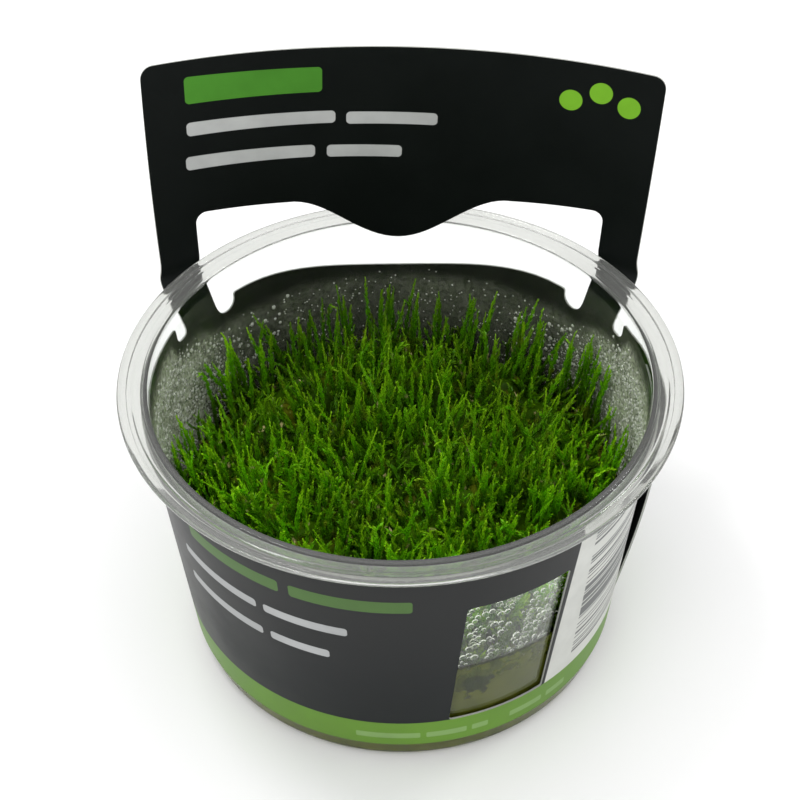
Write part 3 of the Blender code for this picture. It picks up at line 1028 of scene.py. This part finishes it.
def low_lines():
    """Short tangled shoots just over the mat, which fill the dark gaps."""
    chance = random.Random(MOSS_SEED + 2)
    lines = []
    for index in range(LOW_SHOOTS):
        radius, angle = spiral(index, LOW_SHOOTS, LOW_REACH)
        top = (36.8 - 3.0 * (radius / LOW_REACH) ** 4 + chance.gauss(0.0, 0.9)) * MM
        root = Vector((radius * math.cos(angle), radius * math.sin(angle), top - 4.5 * MM))
        line = bent_line(root, top, scatter(chance, 2.2), chance, 4)
        lines.append((line, chance.uniform(0.0, 0.5), chance.uniform(1.0, 1.5)))
    return lines


def touching_lines(chance):
    """Shoots in threes that press on the wall."""
    lines = []
    for first, low, last, high in TOUCHING:
        for offset in (-0.5, 0.0, 0.5):
            line = []
            for step in range(9):
                t = step / 8
                sway = offset * (1.0 - 0.6 * t) + 0.5 * math.sin(4.0 * t + offset)
                z = (low + (high - low) * t * (1.0 - 0.08 * abs(offset))) * MM
                line.append(on_wall(math.radians(first + (last - first) * t + sway), z, 0.95 * MM))
            lines.append((line, chance.uniform(0.5, 1.0), 1.2))
    return lines


def window_lines():
    """Shoots that stand against the wall behind the window, with their feet down in the jelly."""
    chance = random.Random(MOSS_SEED + 1)
    lines = []
    for index in range(WINDOW_SHOOTS):
        in_clump = index % 4 == 0
        side = math.radians(chance.gauss(17.0, 2.5) if in_clump else chance.uniform(6.0, 46.0))
        root_z = (chance.uniform(17.0, 20.0) if in_clump else chance.uniform(21.0, 25.0)) * MM
        root = on_wall(math.pi - side, root_z, chance.uniform(0.9, 2.0) * MM)
        lean = Vector((chance.gauss(0.0, 2.4) + 3.0 * math.sin(side), -3.0 * math.cos(side), 0.0)) * MM
        top = (chance.uniform(24.0, 33.0) if in_clump else chance.uniform(34.0, 46.0)) * MM
        line = bent_line(root, top, lean, chance, 9)
        tone, width = chance.uniform(0.4, 1.0), chance.uniform(1.2, 1.6)
        lines.append((line, tone, width))
        lines += [(branch, tone, width * 0.8) for branch in side_branches(line, chance, 2)]
    return lines + touching_lines(chance)


def shoot_lines():
    """Every shoot and branch as (points, tone, width). The tone is for its colour."""
    chance = random.Random(MOSS_SEED)
    lines = []
    for x, y, top, lean, width in shoot_places(chance):
        root = keep_inside(Vector((x, y, ROOT_Z + chance.uniform(-5.0, 2.0) * MM)))
        line = bent_line(root, top, lean, chance, 9)
        if chance.random() < 0.07:
            line = hooked(line, chance)
        front = smooth_step((8.0 - y / MM) / 24.0)
        tone = min(max(chance.gauss(0.45, 0.22), 0.0), 1.0)
        branches = side_branches(line, chance, round(chance.uniform(0.0, 0.9 + 2.2 * front)))
        lines += [(line, tone, width)] + [(branch, tone, width * 0.8) for branch in branches]
    return lines


LINES = shoot_lines()
LOW_LINES = low_lines()
WINDOW_LINES = window_lines()
print("moss:", len(LINES), "shoots and branches")

# %% [markdown]
# ## Leaves on the shoots
# Moss leaves are tiny pointed scales, set close all along the stem. A tree of nodes sweeps a thin stem
# along every line and sets a leaf every quarter of a millimetre, each turned on from the last by the
# golden angle, with a little disorder.

# %% Tree: leafy shoots
LEAF_LEAN = math.radians(36.0)
TONE_TURN = 6.283


def make_leaf():
    """A closed pointed scale of unit length that leans out from its stem, which runs up Z."""
    ahead = Vector((math.sin(LEAF_LEAN), 0.0, math.cos(LEAF_LEAN)))
    under = Vector((math.cos(LEAF_LEAN), 0.0, -math.sin(LEAF_LEAN)))
    side = Vector((0.0, 0.25, 0.0))
    points = [Vector((0.0, 0.0, 0.0)), ahead * 0.4 + side, ahead * 0.4 - side, ahead - under * 0.16]
    return link_mesh("leaf", points, [], [(0, 2, 1), (0, 1, 3), (0, 3, 2), (1, 2, 3)])


def leafy_tree():
    net, entry, exits = new_group("GeometryNodeTree", "leafy shoots", {
        "Geometry": "Geometry", "Leaf": "Object", "Stem Radius": 0.3 * MM, "Leaf Spacing": 0.26 * MM,
        "Leaf Length": 0.95 * MM, "First Leaf Height": 27.0 * MM, "Seed": 1, "Material": "Material"},
        {"Geometry": "Geometry"})
    growth, tone, width = (attribute(net, name) for name in ("growth", "tone", "width"))
    radius = (growth * -0.7 + 1.0) * entry["Stem Radius"] * width
    curve = net.add("GeometryNodeMeshToCurve", {0: entry["Geometry"]})
    curve = net.add("GeometryNodeSetCurveRadius", {"Curve": curve, "Radius": radius})
    profile = net.add("GeometryNodeCurvePrimitiveCircle", {"Resolution": 3, "Radius": 1.0})
    stems = net.add("GeometryNodeCurveToMesh", {"Curve": curve, "Profile Curve": profile,
                                                "Fill Caps": True})
    if "Scale" in stems.socket.node.inputs:
        net.join(radius, stems.socket.node.inputs["Scale"])
    points = net.add("GeometryNodeCurveToPoints", {"Curve": curve, "Length": entry["Leaf Spacing"]},
                     mode="LENGTH")
    height = net.split(net.add("GeometryNodeInputPosition"))[2]
    high = net.add("FunctionNodeCompare", {0: height, 1: entry["First Leaf Height"]},
                   operation="GREATER_THAN")
    turn = net.add("GeometryNodeInputIndex") * GOLDEN_ANGLE + random_value(net, -0.6, 0.6, entry["Seed"])
    spin = net.add("FunctionNodeEulerToRotation", {0: net.combine(0.0, 0.0, tone * TONE_TURN + turn)})
    rotation = net.add("FunctionNodeRotateRotation", {"Rotation": points.other("Rotation"),
                                                      "Rotate By": spin}, rotation_space="LOCAL")
    size = growth.ramp(0.8, 1.0, 1.0, 0.45) * width * entry["Leaf Length"]
    size = size * random_value(net, 0.7, 1.25, entry["Seed"])
    leaf = net.add("GeometryNodeObjectInfo", {"Object": entry["Leaf"]}, "Geometry")
    leaves = net.add("GeometryNodeInstanceOnPoints", {"Points": points, "Selection": high, "Scale": size,
                                                      "Instance": leaf, "Rotation": rotation})
    joined = net.add("GeometryNodeJoinGeometry", {0: [stems, leaves]})
    return finish_tree(net, joined, entry["Material"], exits)


LEAFY = leafy_tree()
print("tree:", LEAFY.name)

# %% Moss material
PAINTED_LIGHT_CENTRE = Vector((0.0, 6.0, 0.0)) * MM
PAINTED_SIDE_LIGHT = (22.0 * MM, 38.0 * MM, 1.0, 1.5)
PAINTED_FRONT_LIGHT_BACK_SHADE = (-40.0 * MM, 34.0 * MM, 1.18, 0.76)
OLD_GROWTH = (41.0 * MM, 44.5 * MM, 1.0, 0.0)
AUTUMN, DEAD = (0.17, 0.17, 0.012), (0.42, 0.36, 0.16)


def moss_material(name, shaded_foot, middle, tip, dead_share, gloss):
    """Painted shade darkens the foot, the tips are fresh, with patches and brown specks on old growth, and
    painted light at the sides and in front.
    """
    net = new_material(name, Specular_IOR_Level=gloss)
    growth, tone = (net.add("ShaderNodeAttribute", output="Fac", attribute_name=label)
                    for label in ("growth", "tone"))
    _, depth, height = net.split(net.place)
    grain, patches = marks(net, 2400.0, 130.0)
    # Painted shade: darker towards the foot of the cushion, lighter higher up.
    colour = net.blend(height.ramp(30.0 * MM, 43.0 * MM), shaded_foot, middle)
    fresh = net.maths("MULTIPLY", growth.ramp(0.72, 1.0), tone * 0.9 + 0.25, clamp=True)
    colour = net.blend(fresh, colour, tip)
    broad = net.noise(net.place, 75.0, detail=1.0).ramp(0.3, 0.7, -0.22, 0.22)
    # Brightness that differs at random by patch, grain and shoot, then painted light: brighter towards the
    # sides, brighter in front and darker at the back.
    light = broad + 0.5 + (grain * 0.6 + tone * 0.5)
    flat = net.vector("MULTIPLY", net.place, (1.0, 0.6, 0.0))
    light = light * net.vector("DISTANCE", flat, PAINTED_LIGHT_CENTRE, output="Value").ramp(*PAINTED_SIDE_LIGHT)
    colour = net.vector("SCALE", colour, scale=light * depth.ramp(*PAINTED_FRONT_LIGHT_BACK_SHADE))
    low = height.ramp(*OLD_GROWTH)
    autumn = net.noise(net.place, 210.0).ramp(0.55, 0.72, 0.0, 0.55)
    colour = net.blend(autumn * low, colour, AUTUMN)
    specks = net.noise(net.place, 380.0, detail=1.0).ramp(0.70, 0.76)
    colour = net.blend(specks * low * dead_share, colour, DEAD)
    net.finish(Base_Color=colour, Roughness=patches.ramp(0.0, 1.0, 0.34, 0.5))
    return net.material


MOSS = moss_material("moss green", (0.042, 0.120, 0.0005), (0.090, 0.32, 0.001), (0.22, 0.43, 0.006),
                     0.85, 0.16)
# A lighter copy of the moss green for the shoots behind the window: painted light, as little real light
# reaches them there.
WINDOW_MOSS_PAINTED_LIGHT = moss_material("moss green at the wall", (0.07, 0.15, 0.0005), (0.19, 0.40, 0.001),
                          (0.33, 0.50, 0.006), 0.3, 0.1)
print("materials:", MOSS.name, "and", WINDOW_MOSS_PAINTED_LIGHT.name)

# %% Grow the shoots, one piece for each part of the cushion
PARTS = {
    "moss_back_left": lambda x, y: y > 8.0 and x < 0.0,
    "moss_back_right": lambda x, y: y > 8.0 and x >= 0.0,
    "moss_left": lambda x, y: y <= 8.0 and x < -15.0,
    "moss_right": lambda x, y: y <= 8.0 and x > 15.0,
    "moss_middle": lambda x, y: y > -14.0,
    "moss_front": lambda x, y: True,
}


def line_mesh(lines):
    """All the lines as edges, with growth, tone and width on their points."""
    points, edges = [], []
    values = {"growth": [], "tone": [], "width": []}
    for line, tone, width in lines:
        first, last = len(points), len(line) - 1
        points += line
        edges += [(first + i, first + i + 1) for i in range(last)]
        values["growth"] += [i / last for i in range(last + 1)]
        values["tone"] += [tone] * len(line)
        values["width"] += [width] * len(line)
    grid = link_mesh("lines", points, edges, [])
    for label, data in values.items():
        grid.data.attributes.new(label, "FLOAT", "POINT").data.foreach_set("value", data)
    return grid


def grow_moss():
    leaf = make_leaf()
    left_over = list(LINES)
    made = []
    for number, (name, inside) in enumerate(PARTS.items()):
        mine, rest = [], []
        for line, tone, width in left_over:
            root = line[0] / MM
            (mine if inside(root.x, root.y) else rest).append((line, tone, width))
        left_over = rest
        piece = grown(line_mesh(mine), LEAFY, name, Leaf=leaf, Seed=number + 1, Material=MOSS)
        made.append(piece)
        print(name, len(mine), "lines,", triangles(piece.data), "triangles")
    made.append(grown(line_mesh(LOW_LINES), LEAFY, "moss_low", Leaf=leaf, Seed=8, Material=MOSS))
    made.append(grown(line_mesh(WINDOW_LINES), LEAFY, "moss_window", Leaf=leaf, Seed=9,
                      Material=WINDOW_MOSS_PAINTED_LIGHT, First_Leaf_Height=18.0 * MM))
    bpy.data.objects.remove(leaf)
    print("low and window shoots:", [triangles(piece.data) for piece in made[-2:]], "triangles")
    return made


moss_pieces = grow_moss()
for piece in moss_pieces:
    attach(piece, "root")
    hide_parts("moss")

# %% [markdown]
# ## The mat under the shoots
# Between the shoots the eye falls deep into the cushion. A low lumpy body, matted and in darker greens as
# painted shade, gives that depth.
# It stays clear of the wall, where single stems show.

# %% Moss mat
MAT_TOP = 34.5 * MM
MAT_STEPS = 96
MAT_RINGS = 44


def make_mat():
    foot = GEL_TOP - 2.0 * MM
    edge = inner_radius(foot) - 5.0 * MM
    profile = [(edge * ring / MAT_RINGS, MAT_TOP) for ring in range(MAT_RINGS + 1)]
    profile += [(edge * 1.02, MAT_TOP - 3.0 * MM), (edge * 1.01, foot + 3.0 * MM), (edge * 0.97, foot)]
    mat = turned("moss_mat", profile + [(0.0, foot)], MAT_STEPS)
    chance = random.Random(MOSS_SEED)
    for vertex in mat.data.vertices:
        x, y, z = vertex.co
        if z > foot + MM:
            flat = math.hypot(x, y)
            rim = smooth_step((edge - flat) / (7.0 * MM))
            rise = 1.5 * slow_wave(x * 2.1, y * 2.1, 0.9) + chance.gauss(0.0, 0.6)
            vertex.co.z += (rise - 4.0 * (1.0 - rim)) * MM * smooth_step((z - foot) / (8.0 * MM))
            push = 1.0 + 0.02 * math.sin(math.atan2(y, x) * 17.0) * (1.0 - rim)
            vertex.co.x *= push
            vertex.co.y *= push
    return mat


mat = make_mat()
# The mat's greens are darker than the shoots': painted shade deep in the cushion.
mat.data.materials.append(moss_material("moss mat with painted shade", (0.022, 0.055, 0.001), (0.050, 0.130, 0.001),
                                        (0.05, 0.13, 0.001), 1.0, 0.03))
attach(mat, "root")
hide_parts("moss")
print("mat:", triangles(mat.data), "triangles")

# %% [markdown]
# ## Drops on the wall
# Wet air in the closed cup leaves drops on the inside of the wall. They are real domes of water, because
# their bright edges come from bending the light. Nodes scatter them over a copy of the wall, most of
# them tiny and a few of them large.

# %% Tree: drops on a wall
DOME_HEIGHT = 0.6


def drop_tree():
    net, entry, exits = new_group("GeometryNodeTree", "drops on a wall", {
        "Geometry": "Geometry", "Density": 6000000.0, "Apart": 0.55 * MM, "Smallest": 0.14 * MM,
        "Largest": 0.62 * MM, "Evenness": 3.2, "Segments": 7, "Seed": 1, "Material": "Material"},
        {"Geometry": "Geometry"})
    places = net.add("GeometryNodeDistributePointsOnFaces", {
        "Mesh": entry["Geometry"], "Seed": entry["Seed"], "Density Max": entry["Density"],
        "Distance Min": entry["Apart"], "Density Factor": attribute(net, "wetness")},
        distribute_method="POISSON")
    chance = random_value(net, 0.0, 1.0, entry["Seed"])
    span = entry["Largest"] - entry["Smallest"]
    size = net.maths("POWER", chance, entry["Evenness"]) * span + entry["Smallest"]
    ball = net.add("GeometryNodeMeshUVSphere", {"Segments": entry["Segments"], "Rings": 5, "Radius": 1.0})
    x, y, z = net.split(net.add("GeometryNodeInputPosition"))
    flat = net.combine(x, y, net.maths("MAXIMUM", z, 0.0))
    dome = net.add("GeometryNodeSetPosition", {"Geometry": ball, "Position": flat})
    curved = net.add("FunctionNodeCompare", {0: z, 1: 0.05}, operation="GREATER_THAN")
    dome = net.add("GeometryNodeSetShadeSmooth", {"Geometry": dome, "Selection": curved,
                                                  "Shade Smooth": True})
    drops = net.add("GeometryNodeInstanceOnPoints", {
        "Points": places, "Instance": dome, "Rotation": places.other("Rotation"),
        "Scale": net.combine(size, size, size * DOME_HEIGHT)})
    return finish_tree(net, drops, entry["Material"], exits)


DROPS = drop_tree()
print("tree:", DROPS.name)

# %% Drops
DEW_LOW, DEW_HIGH = 26.5 * MM, 52.5 * MM
SIDE_START, BACK_NOTCH = 11.0 * MM, 27.0 * MM
PATCH_STEPS, PATCH_ROWS = 60, 18


def film_top(y):
    """Height where the drops end: lower at the back, near the mouth elsewhere."""
    side = smooth_step((BACK_NOTCH - y) / (BACK_NOTCH - SIDE_START))
    return DEW_HIGH - (1.0 - side) * 5.5 * MM


def dry_near_shoots(angle, z):
    """0 where a shoot presses on the wall and wipes the drops away, and 1 beside it."""
    share = 1.0
    for first, low, last, high in TOUCHING:
        t = (z / MM - low) / (high - low)
        if 0.0 < t < 1.0:
            middle = math.radians(first + (last - first) * t)
            share = min(share, smooth_step((abs(angle - middle) * inner_radius(z) / MM - 0.7) / 0.6))
    return share


def wetness(angle, z):
    """Most drops sit at the sides and in front. The back and the top are drier."""
    top = film_top(math.cos(angle) * inner_radius(z))
    upper = 1.0 - smooth_step((z - top + 6.0 * MM) / (6.0 * MM))
    patch = 0.72 + 0.28 * math.sin(7.0 * angle + 0.35 * z / MM) * math.cos(4.0 * angle)
    back = smooth_step((math.cos(angle) - 0.45) / 0.4)
    return max(0.0, upper * patch * (1.0 - 0.8 * back)) * dry_near_shoots(angle, z)


def wall_patch(first, last, clear=0.03 * MM, top=DEW_HIGH):
    """Part of the wet zone of the inner wall, facing the middle, with how wet each place is."""
    across = [math.radians(first + (last - first) * step / PATCH_STEPS) for step in range(PATCH_STEPS + 1)]
    up = [DEW_LOW + (top - DEW_LOW) * row / PATCH_ROWS for row in range(PATCH_ROWS + 1)]
    points = [on_wall(angle, z, clear) for z in up for angle in across]
    corners = [row * len(across) + step for row in range(PATCH_ROWS) for step in range(PATCH_STEPS)]
    faces = [(c, c + 1, c + 1 + len(across), c + len(across)) for c in corners]
    patch = link_mesh("patch", points, [], faces)
    wet = [wetness(angle, z) for z in up for angle in across]
    patch.data.attributes.new("wetness", "FLOAT", "POINT").data.foreach_set("value", wet)
    return patch


def water(name, tint, clearness):
    net = new_material(name, Base_Color=tint, IOR=1.333, Transmission_Weight=clearness)
    patches = marks(net, 900.0, 60.0)[1]
    net.finish(Roughness=patches.ramp(0.0, 1.0, 0.0, 0.05))
    return net.material


CLEAR_DEW = water("clear dew", (0.94, 0.97, 0.85), 1.0)
# Four tenths of this water is pale and diffuse: painted glints that make the small drops read as bright
# dots.
FINE_DEW_PAINTED_GLINT = water("fine dew with painted glints", (0.90, 0.94, 0.84), 0.6)
DEW = (
    ("dew_right", 30.0, 128.0, FINE_DEW_PAINTED_GLINT, 0.42, 0.5, 2.6, 6),
    ("dew_window", 128.0, 176.0, CLEAR_DEW, 0.85, 0.85, 1.2, 12),
    ("dew_front", 176.0, 232.0, CLEAR_DEW, 1.1, 0.5, 3.2, 6),
    ("dew_left", 232.0, 330.0, FINE_DEW_PAINTED_GLINT, 0.42, 0.5, 2.6, 6),
    ("dew_back", 330.0, 390.0, FINE_DEW_PAINTED_GLINT, 0.42, 0.26, 3.2, 6),
)
for name, first, last, finish, apart, largest, evenness, segments in DEW:
    drops = grown(wall_patch(first, last), DROPS, name, Seed=5, Material=finish, Apart=apart * MM,
                  Largest=largest * MM, Evenness=evenness, Segments=segments)
    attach(drops, "root")
    print(name, triangles(drops.data), "triangles")

# %% Mist between the drops
WINDOW_ANGLE = math.radians(152.0)
WINDOW_WAY = Vector((math.sin(WINDOW_ANGLE), math.cos(WINDOW_ANGLE), 0.0))
MIST_TOP = 54.2 * MM
MIST_STEPS = ((12.5, 16.0, 4.2), (20.5, 26.5, 2.6), (38.0, 43.0, 0.8))
MIST_FADE = 4.0 * MM
MIST_THINS = (12.0 * MM, 35.0 * MM, 0.78, 0.2)
WINDOW_EDGE = (31.0 * MM, 37.0 * MM)


def mist_film():
    """A film of droplets too small to see, all round the wall."""
    film = wall_patch(0.0, 360.0, 0.015 * MM, 55.0 * MM)
    film.name = film.data.name = "mist"
    bm = bmesh.new()
    bm.from_mesh(film.data)
    bmesh.ops.remove_doubles(bm, verts=bm.verts, dist=0.001 * MM)
    for face in bm.faces:
        face.smooth = True
    bm.to_mesh(film.data)
    bm.free()
    return film


def mist_material():
    """Thick at the sides, thin at the back, and wiped away by the larger drops behind the window.
    Its top steps down towards the back, where each step is (from, to, drop) in millimetres."""
    net = new_material("fine mist", Roughness=0.5)
    _, y, z = net.split(net.place)
    (first, last, drop), *steps = MIST_STEPS
    top = y.ramp(first * MM, last * MM, MIST_TOP, MIST_TOP - drop * MM)
    for first, last, drop in steps:
        top = top - y.ramp(first * MM, last * MM, 0.0, drop * MM)
    toward_window = net.vector("DOT_PRODUCT", net.place, WINDOW_WAY, output="Value")
    speckle = net.noise(net.place, 1500.0).ramp(0.3, 0.72, 0.45, 1.0)
    streak = net.noise(net.place, 160.0, detail=3.0).ramp(0.25, 0.7, 0.6, 1.0)
    share = y.ramp(*MIST_THINS) * (top - z).ramp(0.0, MIST_FADE, 0.15, 1.0)
    share = share * speckle * streak * toward_window.ramp(*WINDOW_EDGE, 1.0, 0.0)
    grey = net.noise(net.place, 700.0).ramp(0.3, 0.7)
    net.finish(Alpha=share, Base_Color=net.blend(grey, (0.62, 0.72, 0.46), (0.80, 0.86, 0.66)))
    return net.material


mist = mist_film()
mist.data.materials.append(mist_material())
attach(mist, "root")
print("mist:", len(mist.data.polygons), "faces")

# %% [markdown]
# ## Last step
# The scene is brought up to date.

# %% Finish


bpy.context.view_layer.update()
